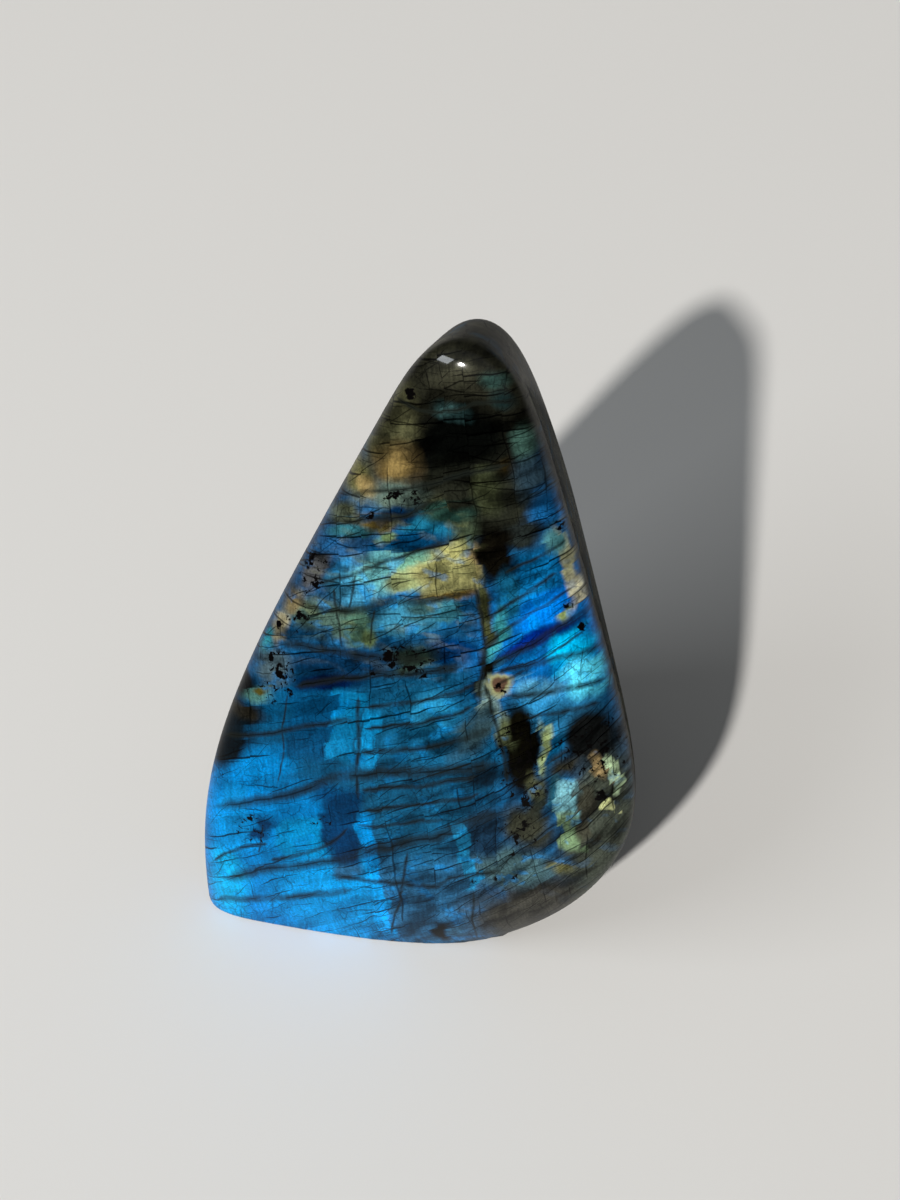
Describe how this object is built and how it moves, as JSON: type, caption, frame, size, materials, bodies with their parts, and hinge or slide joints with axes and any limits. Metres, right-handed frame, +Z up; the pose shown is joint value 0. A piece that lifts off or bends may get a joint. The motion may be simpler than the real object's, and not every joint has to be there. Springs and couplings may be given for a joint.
{
  "type": "polished labradorite",
  "caption": "Free-standing polished labradorite: a tall rounded wedge of dark feldspar with a blue flash, leaning back to a dome and resting on its own flat sawn base.",
  "frame": {"origin": "on the flat base, under the middle of the stone's box", "axes": "+Z up out of the base, -Y out of the main polished face, +X to the right of a viewer who faces it"},
  "size_m": [0.0856, 0.0742, 0.1229],
  "materials": {
    "polished_feldspar": "opaque dark feldspar with a blue, teal and gold flash, polished to a high gloss"
  },
  "bodies": {
    "root": {"polished_labradorite": "polished_feldspar"}
  },
  "joints": []
}
